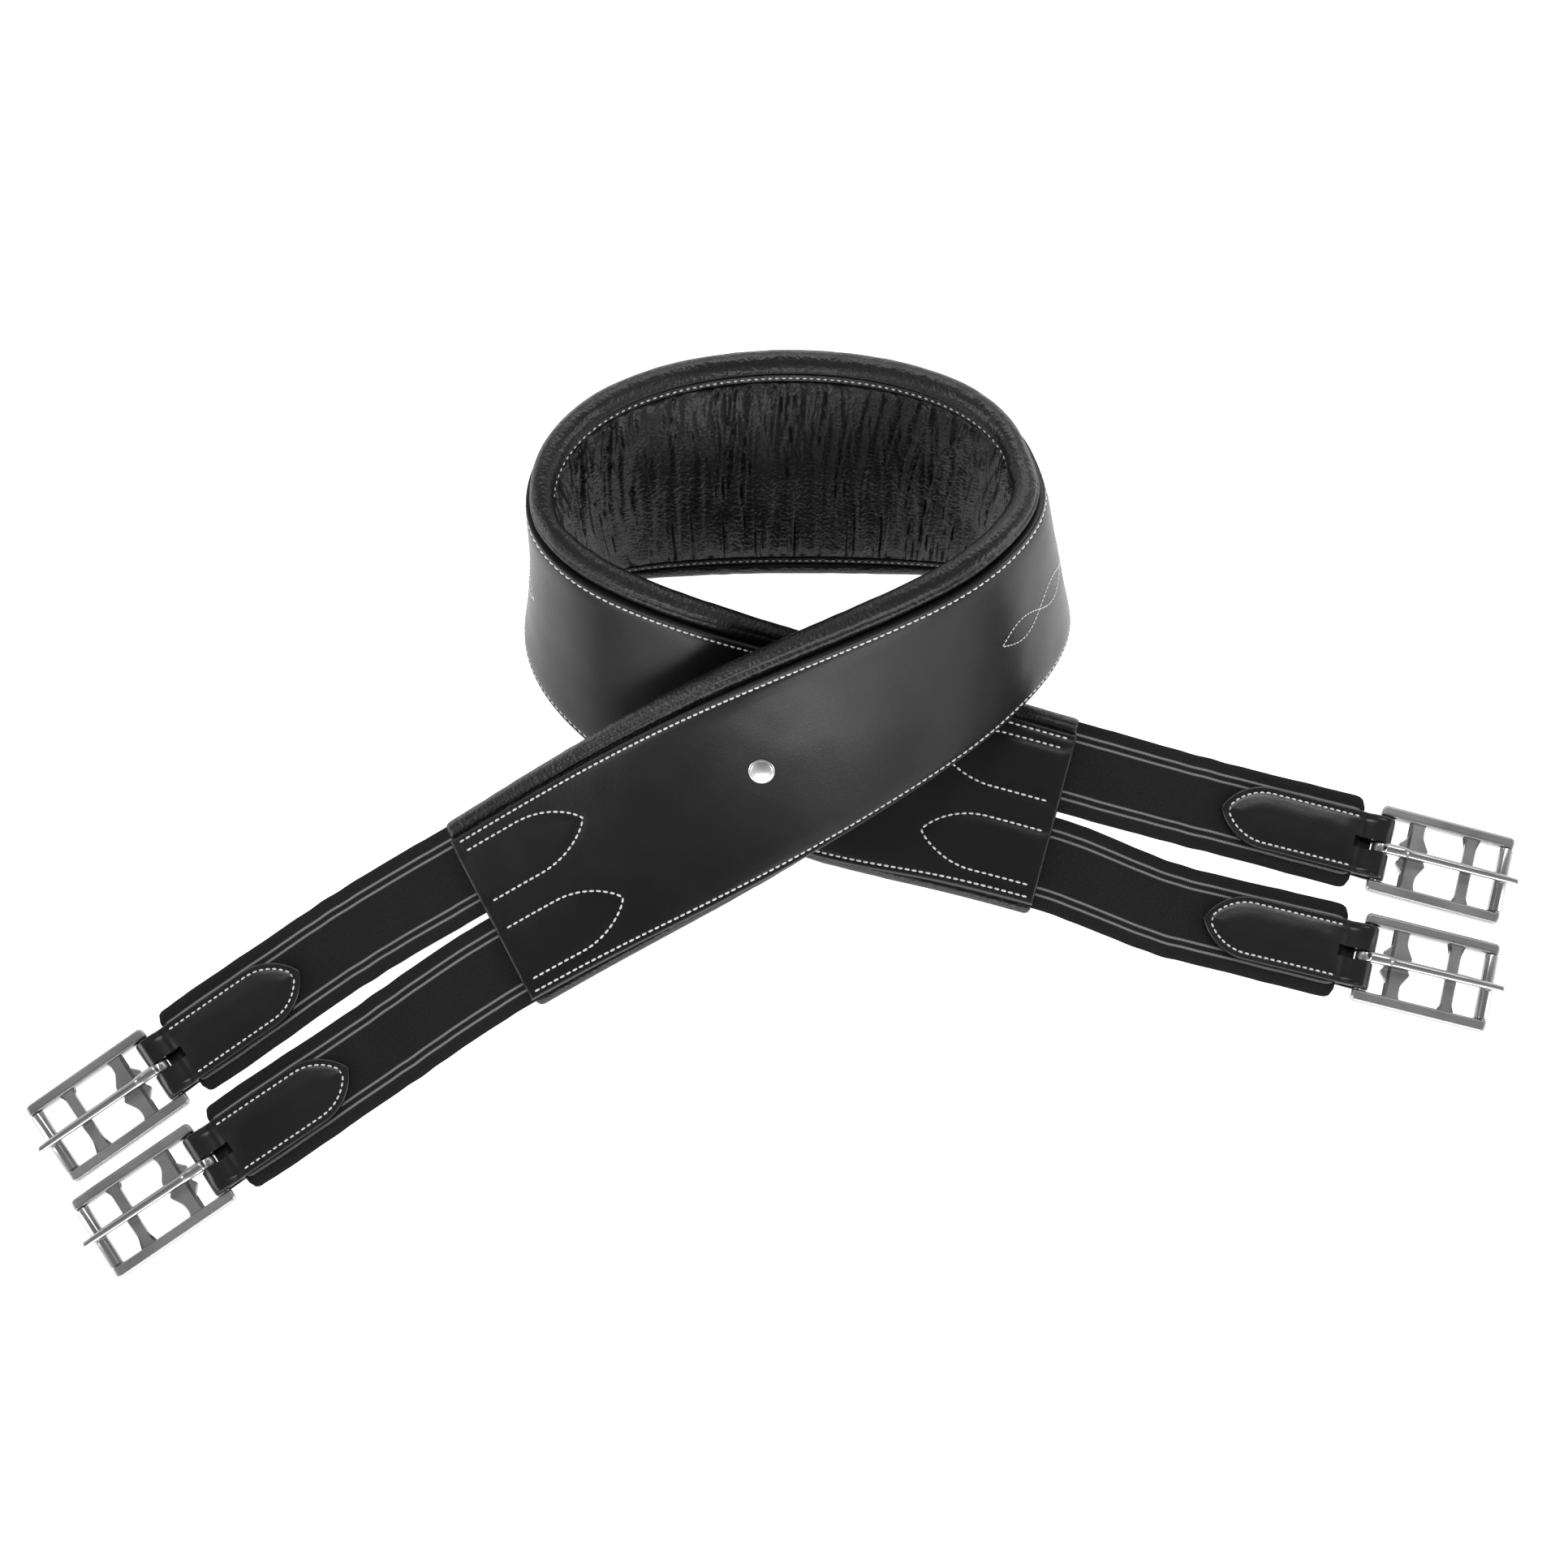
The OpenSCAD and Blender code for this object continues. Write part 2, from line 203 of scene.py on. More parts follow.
def quads(m, k, closed=False, offset=0):
    """Faces of an m by k grid of points; closed joins the last column to the first."""
    index = np.arange(m * k).reshape(m, k) + offset
    right = np.roll(index, -1, axis=1) if closed else index[:, 1:]
    left = index if closed else index[:, :-1]
    return np.stack([left[:-1], left[1:], right[1:], right[:-1]], -1).reshape(-1, 4)


def slab(outer, inner, mask=None):
    """Points and faces of a thick sheet between two grids.

    mask says which cells there are, where some are left out.
    """
    m, k = outer.shape[:2]
    top = quads(m, k)
    if mask is not None:
        top = top[mask.reshape(-1)]
    size = m * k
    edges = np.concatenate([top[:, [0, 1]], top[:, [1, 2]], top[:, [2, 3]], top[:, [3, 0]]])
    key, back = edges[:, 0] * size + edges[:, 1], edges[:, 1] * size + edges[:, 0]
    rim = edges[~np.isin(key, back)]
    walls = np.stack([rim[:, 1], rim[:, 0], rim[:, 0] + size, rim[:, 1] + size], -1)
    return (np.concatenate([outer.reshape(-1, 3), inner.reshape(-1, 3)]),
            [top, top[:, ::-1] + size, walls])


def tube(rings):
    """Points and faces of a closed tube through rings of points, with flat ends."""
    m, k = rings.shape[:2]
    caps = [list(range(k))[::-1], list(range((m - 1) * k, m * k))]
    return rings.reshape(-1, 3), [quads(m, k, closed=True)] + caps


def joined(parts):
    """Several (points, faces) as one."""
    verts, faces, start = [], [], 0
    for part_verts, part_faces in parts:
        verts.append(part_verts)
        for f in part_faces:
            faces.append(f + start if isinstance(f, np.ndarray) else [i + start for i in f])
        start += len(part_verts)
    return np.concatenate(verts), faces


def ring_faces(m, k):
    """Faces of an m by k grid of points that closes on itself both ways."""
    index = np.arange(m * k).reshape(m, k)
    after = np.roll(index, -1, axis=0)
    return np.stack([index, after, np.roll(after, -1, axis=1),
                     np.roll(index, -1, axis=1)], -1).reshape(-1, 4)


def stitches(path, normals, pitch, length, radius, sink=0.35):
    """Thread stitches lying along a path on a surface, their ends pulled into it."""
    steps = np.linalg.norm(np.diff(path, axis=0), axis=1)
    s = np.concatenate([[0], np.cumsum(steps)])
    count = max(1, int((s[-1] - length) / pitch) + 1)
    first = (s[-1] - (count - 1) * pitch) / 2
    centre = first + pitch * np.arange(count)
    # Rings along one stitch: where, how thick and how far sunk, each as a share
    part = np.array([-0.5, -0.42, -0.22, 0, 0.22, 0.42, 0.5])
    thick = np.array([0.35, 0.8, 1, 1.04, 1, 0.8, 0.35])
    drop = np.array([1, 0.45, -0.1, -0.3, -0.1, 0.45, 1])
    at = centre[:, None] + length * part

    def along(values):
        return np.stack([np.interp(at, s, values[:, axis]) for axis in range(3)], -1)

    p, n = along(path), unit(along(normals))
    forward = unit(p[:, -1:] - p[:, :1] + 1e-9)
    side = unit(np.cross(n, forward))
    p = p - n * (sink * drop)[None, :, None]
    m, k = len(part), 6
    turn = np.arange(k) * 2 * math.pi / k
    r = radius * thick[None, :, None, None]
    round_it = (np.cos(turn)[:, None] * side[:, :, None]
                + np.sin(turn)[:, None] * n[:, :, None])
    rings = p[:, :, None] + r * round_it
    verts = rings.reshape(-1, 3)
    cell = quads(m, k, closed=True)
    start = (np.arange(count) * m * k)[:, None, None]
    faces = (cell[None] + start).reshape(-1, 4)
    caps = np.array([list(range(k))[::-1], list(range((m - 1) * k, m * k))])
    return verts, [faces, (caps[None] + start).reshape(-1, k)]


# ---- Materials ----

class Shader:
    """A Principled material built node by node."""

    def __init__(self, name, **sockets):
        """sockets are the shader's own values, with _ for each space in a socket's name."""
        self.material = bpy.data.materials.new(name)
        self.material.use_nodes = True
        self.tree = self.material.node_tree
        self.main = self.tree.nodes["Principled BSDF"]
        for key, value in sockets.items():
            self.main.inputs[key.replace("_", " ")].default_value = value

    def add(self, kind, inputs=None, **props):
        """A new node; its inputs are values or other nodes' sockets."""
        node = self.tree.nodes.new("ShaderNode" + kind)
        for key, value in props.items():
            setattr(node, key, value)
        for key, value in (inputs or {}).items():
            socket = node.inputs[key]
            if isinstance(value, bpy.types.NodeSocket):
                self.tree.links.new(value, socket)
            else:
                socket.default_value = value
        return node

    def put(self, socket, value):
        """Links a value to one of the shader's sockets."""
        self.tree.links.new(value, self.main.inputs[socket])

    def place(self):
        """Object coordinates, in metres."""
        return self.add("TexCoord").outputs["Object"]

    def tex(self, kind, scale, out="Fac", **inputs):
        """One output of a new texture node."""
        props = {k: inputs.pop(k) for k in ("feature", "bands_direction") if k in inputs}
        data = {"Scale": scale, "Vector": inputs.pop("Vector", None) or self.place()}
        data.update({k.replace("_", " "): v for k, v in inputs.items()})
        return self.add("Tex" + kind, data, **props).outputs[out]

    def math(self, operation, a, b=0.0):
        return self.add("Math", {0: a, 1: b}, operation=operation).outputs[0]

    def range(self, value, low, high, to_low, to_high):
        """value brought from low..high to to_low..to_high."""
        return self.add("MapRange", {"Value": value, "From Min": low, "From Max": high,
                                     "To Min": to_low, "To Max": to_high}).outputs[0]

    def mix(self, factor, a, b):
        """A colour between a and b."""
        # 0, 6 and 7 are the colour mix's factor, A and B, and its output 2 is the colour
        return self.add("Mix", {0: factor, 6: a, 7: b}, data_type="RGBA").outputs[2]

    def bumps(self, *layers):
        """Each layer is (height, strength, distance in metres)."""
        normal = None
        for height, strength, distance in layers:
            data = {"Height": height, "Strength": strength, "Distance": distance}
            if normal:
                data["Normal"] = normal
            normal = self.add("Bump", data).outputs[0]
        self.put("Normal", normal)


def grey(v, warm=0.0):
    """A grey, or a slightly warm one."""
    return (v * (1 + warm), v, v * (1 - warm), 1)


def leather(name, base, rough, cell, depth, wear, coat=0.0, spec=0.4):
    """Grained leather: cell is the grain's size and depth its height, in metres, and wear is the
    grey of rubbed edges and of a painted highlight, which the mesh's edge attribute marks."""
    s = Shader(name, Coat_Weight=coat, Coat_Roughness=0.25, Specular_IOR_Level=spec)
    pores = s.tex("Voronoi", 1 / cell, "Distance", feature="SMOOTH_F1")
    fine = s.tex("Noise", 0.35 / cell, Detail=6.0)
    cloud = s.tex("Noise", 22.0, Detail=3.0)
    edge = s.add("Attribute", attribute_name="edge").outputs["Fac"]
    # The edge attribute lightens the colour towards the wear grey: rubbed edges on the cover and
    # chapes, and a painted highlight on the pad's upper roll crest
    wear_and_painted_highlight = s.math("MULTIPLY", edge, s.range(fine, 0.35, 0.7, 0.4, 1.0))
    tone = s.mix(s.range(cloud, 0.3, 0.7, 0, 1), grey(base * 0.8), grey(base * 1.3, 0.03))
    s.put("Base Color", s.mix(wear_and_painted_highlight, tone, grey(wear, 0.04)))
    s.put("Roughness", s.math("ADD", s.range(cloud, 0.3, 0.7, rough - 0.04, rough + 0.05),
                              s.math("MULTIPLY", pores, 0.08)))
    s.bumps((fine, 0.25, depth * 2), (pores, 0.5, depth))
    return s.material


BLACK = 0.0045
COVER = leather("smooth_leather", BLACK, rough=0.34, cell=0.0007, depth=0.00005, wear=0.015,
                spec=0.3)
NAPPA = leather("nappa_leather", BLACK, rough=0.36, cell=0.0013, depth=0.0006, wear=0.015,
                spec=0.42)
CHAPE = leather("chape_leather", BLACK, rough=0.27, cell=0.0006, depth=0.00004, wear=0.02,
                coat=0.1)


def thread_material():
    """Pale twisted thread."""
    s = Shader("waxed_thread", Roughness=0.6, Sheen_Weight=0.3)
    twist = s.tex("Noise", 1800.0, Detail=2.0)
    s.put("Base Color", s.mix(s.range(twist, 0.35, 0.65, 0, 1), grey(0.5, 0.02), grey(0.8, 0.02)))
    s.bumps((twist, 0.5, 0.0001))
    return s.material


# Distances between the elastic's ribs and between its picks
RIB, PICK = 1.05, 0.85


def elastic_material():
    """Ribbed weave; the strip attribute gives the place across and along in millimetres."""
    s = Shader("woven_elastic", Specular_IOR_Level=0.2)
    strip = s.add("Attribute", attribute_name="strip").outputs["Vector"]
    parts = s.add("SeparateXYZ", {0: strip})
    across, along = parts.outputs[0], parts.outputs[1]
    rib = s.math("SINE", s.math("MULTIPLY", across, 2 * math.pi / RIB))
    pick = s.math("SINE", s.math("ADD", s.math("MULTIPLY", along, 2 * math.pi / PICK),
                                 s.math("MULTIPLY", rib, 1.2)))
    cord = s.add("Attribute", attribute_name="cord").outputs["Fac"]
    fuzz = s.tex("Noise", 900.0, Detail=4.0)
    cloud = s.tex("Noise", 30.0, Detail=2.0)
    black = s.mix(s.range(s.math("ADD", s.math("MULTIPLY", pick, 0.5), fuzz), 0, 1.2, 0, 1),
                  grey(0.003), grey(0.014))
    black = s.mix(s.range(cloud, 0.3, 0.7, 0, 0.4), black, grey(0.012))
    pale = s.mix(s.range(s.math("ADD", pick, fuzz), -0.6, 1.4, 0, 1), grey(0.16), grey(0.3))
    s.put("Base Color", s.mix(cord, black, pale))
    s.put("Roughness", s.range(fuzz, 0.3, 0.7, 0.7, 0.9))
    s.bumps((rib, 0.5, 0.00012), (pick, 0.5, 0.00010), (fuzz, 0.3, 0.0001))
    return s.material


def metal(name, base, rough, spread, scratch):
    """Metal with smudges that spread its roughness, and fine scratches."""
    s = Shader(name, Metallic=1.0)
    lines = s.tex("Noise", 60.0, Detail=4.0,
                  Vector=s.add("Mapping", {"Vector": s.place(), "Scale": (1, 9, 9)}).outputs[0])
    smudge = s.tex("Noise", 70.0, Detail=3.0)
    s.put("Base Color", s.mix(s.range(smudge, 0.3, 0.7, 0, 1),
                              grey(base * 0.92, 0.005), grey(base)))
    s.put("Roughness", s.math("ADD", s.range(smudge, 0.3, 0.7, rough, rough + spread),
                              s.math("MULTIPLY", lines, 0.06)))
    s.bumps((lines, scratch, 0.00004))
    return s.material


def webbing_material():
    """A plain weave of two crossed waves."""
    s = Shader("webbing", Roughness=0.8)
    warp = s.tex("Wave", 260.0, Distortion=1.0, bands_direction="X")
    weft = s.tex("Wave", 260.0, Distortion=1.0, bands_direction="Y")
    s.put("Base Color", s.mix(s.math("MULTIPLY", warp, weft), grey(0.03), grey(0.09)))
    s.bumps((s.math("ADD", warp, weft), 0.6, 0.0003))
    return s.material


THREAD = thread_material()
ELASTIC = elastic_material()
POLISHED = metal("polished_steel", base=0.42, rough=0.16, spread=0.06, scratch=0.06)
# Satin steel for the frames' flat faces, and as painted shade on the tongues' eyes
SATIN_AND_SHADE = metal("satin_steel_and_painted_shade", base=0.34, rough=0.34, spread=0.1, scratch=0.2)
NICKEL = metal("nickel", base=0.55, rough=0.2, spread=0.1, scratch=0.1)
WEBBING = webbing_material()
for cad_name, cad_material in (("web_core", WEBBING), ("rivet_washer", NICKEL)):
    cad_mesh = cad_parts[cad_name].data
    cad_mesh.materials.clear()
    cad_mesh.materials.append(cad_material)

# ---- Outer leather ----

# Radius of the leather's cut edge, and the stitching's distance from it
EDGE_R, STITCH_IN = 1.2, 2.4
# Spade-shaped strap tips: their middle lines, half width, and where along the body they start,
# begin to narrow and end
TIP_MIDDLES = (15.1, -21.3)
TIP_HALF, TIP_START, TIP_STRAIGHT, TIP_END = 11.8, 4, 28, 54


def tip_half(near):
    """Half a tip's width at distance near from the body's end."""
    t = np.clip((near - TIP_STRAIGHT) / (TIP_END - TIP_STRAIGHT), 0, 1)
    return TIP_HALF * (1 - t ** 2) ** 0.8


def tip_outline():
    """One tip's outline as [distance from the body's end, x from its middle line]."""
    a = np.linspace(TIP_START, TIP_END - 0.01, 90)
    h = tip_half(a)
    return np.concatenate([np.stack([a, h], 1), np.stack([a, -h], 1)[::-1]])


def tip_shape(s, x):
    """Distance to the nearest tip's outline, and how far inside it a point is, 0 to 1."""
    out = np.full(np.shape(x), 50.0)
    inside = np.zeros(np.shape(x))
    near = np.broadcast_to(np.minimum(s, LENGTH - s), np.shape(x))
    pick = near < TIP_END + 8
    line = tip_outline()
    for middle in TIP_MIDDLES:
        dx = near[pick][:, None] - line[:, 0]
        dy = (x[pick] - middle)[:, None] - line[:, 1]
        d = np.sqrt(dx ** 2 + dy ** 2).min(1)
        h = tip_half(near[pick]) * (near[pick] < TIP_END)
        inside[pick] = np.maximum(inside[pick], ease(d / 4) * (np.abs(x[pick] - middle) < h))
        out[pick] = np.minimum(out[pick], d)
    return out, inside


def cover_q(s, x):
    """How deep the outer leather's face lies, at length s and x across."""
    u = u_at(s)
    h = half_w(u)
    e = np.minimum(h - OUT_UP - x, x + h - OUT_LOW)
    ends = np.broadcast_to(np.minimum(s, LENGTH - s), np.shape(x))
    near = np.clip(np.minimum(e, ends), 0, EDGE_R)
    q = EDGE_R - np.sqrt(EDGE_R ** 2 - (EDGE_R - near) ** 2)
    # Grooves under the stitching and creases near the edges
    q = (q + 0.3 * bump(e - STITCH_IN, 0.8) + 0.12 * bump(e - 1.3, 0.35)
         + 0.15 * bump(ends - 2.2, 0.4))
    outline, inside = tip_shape(s, x)
    q = q + 0.3 * bump(outline, 0.9) - 0.5 * inside
    # The leather's middle stands up a little, unevenly
    return q - ease(e / 9) * (0.35 + 0.3 * noise(s / 34, x / 30) + 0.1 * noise(s / 9, x / 12, 1))


def cover():
    """The outer leather, with more points near its edges."""
    s = np.linspace(0, LENGTH, 640)
    s = np.sort(np.concatenate([s, [0.15, 0.4, 0.8, LENGTH - 0.8, LENGTH - 0.4, LENGTH - 0.15]]))
    u = u_at(s)
    h = half_w(u)[:, None]
    low, up = OUT_LOW - h, h - OUT_UP
    edge = np.array([0, 0.12, 0.35, 0.7, 1.1, 1.5, 1.9, 2.4, 2.9, 3.5, 4.4, 5.4])
    border = 6.4
    inner = low + border + (up - low - 2 * border) * np.linspace(0, 1, 46)
    x = np.concatenate([low + edge, inner, up - edge[::-1]], 1)
    q = cover_q(s[:, None] + 0 * x, x)
    top = placed(u, x, q)
    bottom = placed(u, x, np.full_like(x, LEATHER_T - 0.05))
    verts, faces = slab(top, bottom)
    e = np.minimum(x - low, up - x)
    wear = np.maximum(bump(e - 0.35, 0.5), bump(np.minimum(s, LENGTH - s)[:, None] - 0.3, 0.5))
    wear = np.concatenate([wear.ravel(), 0 * wear.ravel()])
    return make("cover_leather", verts, faces, COVER, attributes={"edge": wear})


leather_cover = cover()
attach(leather_cover, "girth_body")
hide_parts("outer_leather")

# ---- Lining: rolled edges, sewn welts and a wrinkled, padded face ----

# How far in from the body's edge the two seams of a welt lie, in radii of its roll
SEAM_1, SEAM_2 = 1.41, 2.09


def roll_arc(h, r, side, angles, s):
    """Outline of one rolled edge, with the fold that makes its two ridges."""
    a = np.radians(angles)[None, :]
    ridge = 0.7 * bump(angles - 76, 7) + 0.4 * bump(angles - 118, 9)
    wobble = (0.12 * noise(s[:, None] / 5, angles[None, :] / 40, 2)
              + 0.1 * noise(s[:, None] / 17, angles[None, :] / 60, 3))
    radius = r - (ridge[None, :] if side > 0 else 0.4 * ridge[None, :]) + wobble * (r > 4.2)
    return side * (h - r + radius * np.cos(a)), BODY_T - r - radius * np.sin(a)


def inner_q(e, r, s, x):
    """Depth of the inner face at distance e in from the body's edge, beside a roll of radius r."""
    t = e / r
    q = np.where(t < SEAM_1, BODY_T - r + r * np.sqrt(np.clip(1 - (t - 1) ** 2, 0, 1)), 12.2)
    q = q - 1.1 * bump(t - SEAM_1, 0.05) - 1.3 * bump(t - SEAM_2, 0.055)
    beyond = e - SEAM_2 * r
    puff = ease(beyond / 4.5)
    swollen = np.broadcast_to(swell(u_at(s)), np.shape(e))
    pucker = ease(beyond / 1.5)
    # Creases run across the body, slanted and bent by bend
    bend = x / 26 + 1.6 * noise(s / 60, x / 50, 4)
    fold = (np.abs(noise(s / 3.0 + bend, x / 40, 5))
            + 0.45 * np.abs(noise(s / 1.7 - bend, x / 24, 6)))
    gather = noise(s / 2.2, x / 40, 7) * bump(beyond - 2, 4)
    soft = noise(s / 30, x / 26, 8)
    crease = 2.2 * fold * (0.85 + 0.3 * soft) - 1.1 + 0.5 * gather
    return q + 0.75 * puff + pucker * swollen * crease + 0.12 * puff * soft


def padded_rise():
    """How far a cloth patch, sewn down along both welts and blown up by its stuffing, rises and
    buckles: a grid of heights in millimetres, even in length and in share of the way across."""
    rings, columns, last_step = 400, 25, 20
    s = np.linspace(0, LENGTH, rings)
    u = u_at(s)
    h = half_w(u)[:, None]
    first, final = h - SEAM_2 * UP_R, SEAM_2 * low_r(u)[:, None] - h
    x = first + (final - first) * np.linspace(0, 1, columns)
    start = placed(u, x, np.full_like(x, BODY_T - 0.8))
    patch = make("patch", start.reshape(-1, 3), [quads(rings, columns)], NAPPA, recalc=False)
    index = np.arange(rings * columns).reshape(rings, columns)
    held = patch.vertex_groups.new(name="held")
    rim = np.concatenate([index[0], index[-1], index[:, 0], index[:, -1]])
    held.add(rim.tolist(), 1.0, "REPLACE")
    cloth = patch.modifiers.new("cloth", "CLOTH")
    settings = cloth.settings
    settings.quality = 6
    settings.mass = 0.02
    settings.tension_stiffness = settings.compression_stiffness = 12
    settings.shear_stiffness = 4
    settings.bending_stiffness = 0.02
    settings.air_damping = 2
    settings.shrink_min = settings.shrink_max = -0.01
    settings.vertex_group_mass = "held"
    settings.use_pressure = True
    settings.uniform_pressure_force = 2
    settings.effector_weights.gravity = 0
    cloth.collision_settings.use_collision = False
    cloth.point_cache.frame_end = last_step
    scene = bpy.context.scene
    for step in range(1, last_step + 1):
        scene.frame_set(step)
    done = patch.evaluated_get(bpy.context.evaluated_depsgraph_get()).to_mesh()
    co = np.zeros(rings * columns * 3, np.float32)
    done.vertices.foreach_get("co", co)
    shift = co.reshape(rings, columns, 3) / MM - start
    rise = -(shift * route(u)[3][:, None]).sum(-1)
    scene.frame_set(1)
    bpy.data.objects.remove(patch, do_unlink=True)
    # Smoothed, kept to about 1 mm, and left out at the ends
    for _ in range(3):
        rise[1:-1] = (rise[:-2] + 2 * rise[1:-1] + rise[2:]) / 4
        rise[:, 1:-1] = (rise[:, :-2] + 2 * rise[:, 1:-1] + rise[:, 2:]) / 4
    clear = ease((u - 3.5) / 2) * ease((12.5 - u) / 2)
    return s, np.tanh(rise / 1.6) * clear[:, None]


def lining():
    """The pad round its whole section: upper roll, inner face, lower roll and hidden back."""
    s = np.linspace(0, LENGTH, 1000)
    u = u_at(s)
    h, low = half_w(u)[:, None], low_r(u)[:, None]
    turn = np.linspace(165, -90, 46)
    # Columns of points across a welt, closer at its seams, in radii of its roll
    seam = np.array([1.06, 1.13, 1.2, 1.27, 1.32, 1.36, 1.39, 1.41, 1.43, 1.46, 1.5, 1.57, 1.66,
                     1.75, 1.84, 1.93, 1.99, 2.03, 2.06, 2.09, 2.12, 2.16, 2.22, 2.3, 2.42, 2.57])
    xu, qu = roll_arc(h, UP_R, 1, turn, s)
    xl, ql = roll_arc(h, low, -1, turn[::-1], s)
    first, final = h - seam * UP_R, seam * low - h
    middle = first[:, -1:] + (final[:, -1:] - first[:, -1:]) * np.linspace(0, 1, 40)[1:-1]
    x = np.concatenate([first, middle, final[:, ::-1]], 1)
    r = np.where(x > 0, UP_R, low)
    q = inner_q(h - np.abs(x), r, s[:, None] + 0 * x, x)
    # The cloth's rise at each point, read from its grid
    rise_s, rise = padded_rise()
    rows, columns = rise.shape
    sewn, sewn_low = h - SEAM_2 * UP_R, SEAM_2 * low - h
    share = (x - sewn) / (sewn_low - sewn)
    row = np.interp(s, rise_s, np.arange(rows))[:, None] + 0 * x
    column = np.clip(share, 0, 1) * (columns - 1)
    i = np.minimum(row.astype(int), rows - 2)
    j = np.minimum(column.astype(int), columns - 2)
    a, b = row - i, column - j
    q = q + ((rise[i, j] * (1 - a) + rise[i + 1, j] * a) * (1 - b)
             + (rise[i, j + 1] * (1 - a) + rise[i + 1, j + 1] * a) * b)
    back_x = np.linspace(0, 1, 8)[1:-1] * (xu[:, :1] - xl[:, -1:]) + xl[:, -1:]
    x = np.concatenate([xu, x, xl, back_x], 1)
    q = np.concatenate([qu, q, ql, np.full_like(back_x, 6.4)], 1)
    ends = np.minimum(s, LENGTH - s)[:, None]
    shut = 1 - np.sqrt(np.clip(1 - (1 - np.clip(ends / 3, 0, 1)) ** 2, 0, 1))
    x, q = x * (1 - 0.04 * shut), 8 + (q - 8) * (1 - 0.35 * shut)
    points = placed(u, x, q)
    verts, faces = tube(points)
    # A painted highlight along the upper roll's crest, given through the edge attribute that
    # elsewhere marks rubbed edges
    painted_crest_highlight = np.zeros(x.shape)
    painted_crest_highlight[:, :len(turn)] = bump(turn - 50, 12)
    return make("lining_pad", verts, faces, NAPPA, sharp=60,
                attributes={"edge": 0.35 * painted_crest_highlight.ravel()})


pad = lining()
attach(pad, "girth_body")
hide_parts("lining_leather", "foam_pad")

# ---- Stitching on the body ----


def on_cover(s, x):
    """Points on the outer leather's face, and its normals there."""
    u = u_at(s)
    mid, _, width, out = route(u)
    q = cover_q(s, x)
    return mid + x[:, None] * width - q[:, None] * out, out


def body_threads(name, paths, pitch, length, radius, place_on=on_cover, sink=0.35):
    """Stitching along paths, each given as (s, x)."""
    parts = [stitches(*place_on(s, x), pitch, length, radius, sink) for s, x in paths]
    verts, faces = joined(parts)
    piece = make(name, verts, faces, THREAD, sharp=80, recalc=False)
    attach(piece, "girth_body")


long_s = np.linspace(2.5, LENGTH - 2.5, 1600)
long_h = half_w(u_at(long_s))
body_threads("stitch_edges", [(long_s, long_h - OUT_UP - STITCH_IN),
                              (long_s, OUT_LOW + STITCH_IN - long_h)],
             pitch=2.9, length=2.35, radius=0.42)
outline = tip_outline()
body_threads("stitch_tips", [(near, middle + outline[:, 1]) for middle in TIP_MIDDLES
                             for near in (outline[:, 0], LENGTH - outline[:, 0])],
             pitch=2.9, length=2.4, radius=0.44)
# Half a wave's length, how many of them, their height, and the height of their middle line
WAVE_L, WAVES, WAVE_H, WAVE_X = 23.5, 14, 5.6, -3
wave = np.linspace(0, WAVE_L * WAVES, 1400)
wave_s = LENGTH / 2 - WAVE_L * WAVES / 2 + wave
wave_x = WAVE_H * np.sin(math.pi * wave / WAVE_L)
body_threads("stitch_waves", [(wave_s, wave_x + WAVE_X), (wave_s, -wave_x + WAVE_X)],
             pitch=1.9, length=1.5, radius=0.26, sink=0.2)


def on_welt(s, side):
    """Points along the middle of a welt, and its normals there; side is 1 for the upper welt."""
    u = u_at(s)
    mid, _, width, out = route(u)
    r = np.full_like(u, UP_R) if side > 0 else low_r(u)
    e = 1.75 * r
    x = side * (half_w(u) - e)
    q = inner_q(e, r, s, x)
    return mid + x[:, None] * width - q[:, None] * out, -out


for welt_side, word in ((1, "upper"), (-1, "lower")):
    body_threads("stitch_seam_" + word, [(long_s, welt_side)],
                 pitch=2.8, length=1.5, radius=0.36, place_on=on_welt, sink=0.15)

# ---- Straps and chapes ----


def bar_matrix(k, droop=False):
    """The place of corner k's chape bar, its x axis along the buckle."""
    x, y, angle = BUCKLES[k]
    m = (Matrix.Translation((x + SHIFT[0], y + SHIFT[1], BAR_Z))
         @ Matrix.Rotation(math.radians(angle), 4, "Z"))
    return m @ Matrix.Rotation(math.radians(DROOP), 4, "Y") if droop else m


def moved(points, matrix):
    """Points after a matrix."""
    m = np.array(matrix)
    return points @ m[:3, :3].T + m[:3, 3]


# Where the elastic's grey lines run, across from its middle
GREY_LINES = (14.2, 11.2)


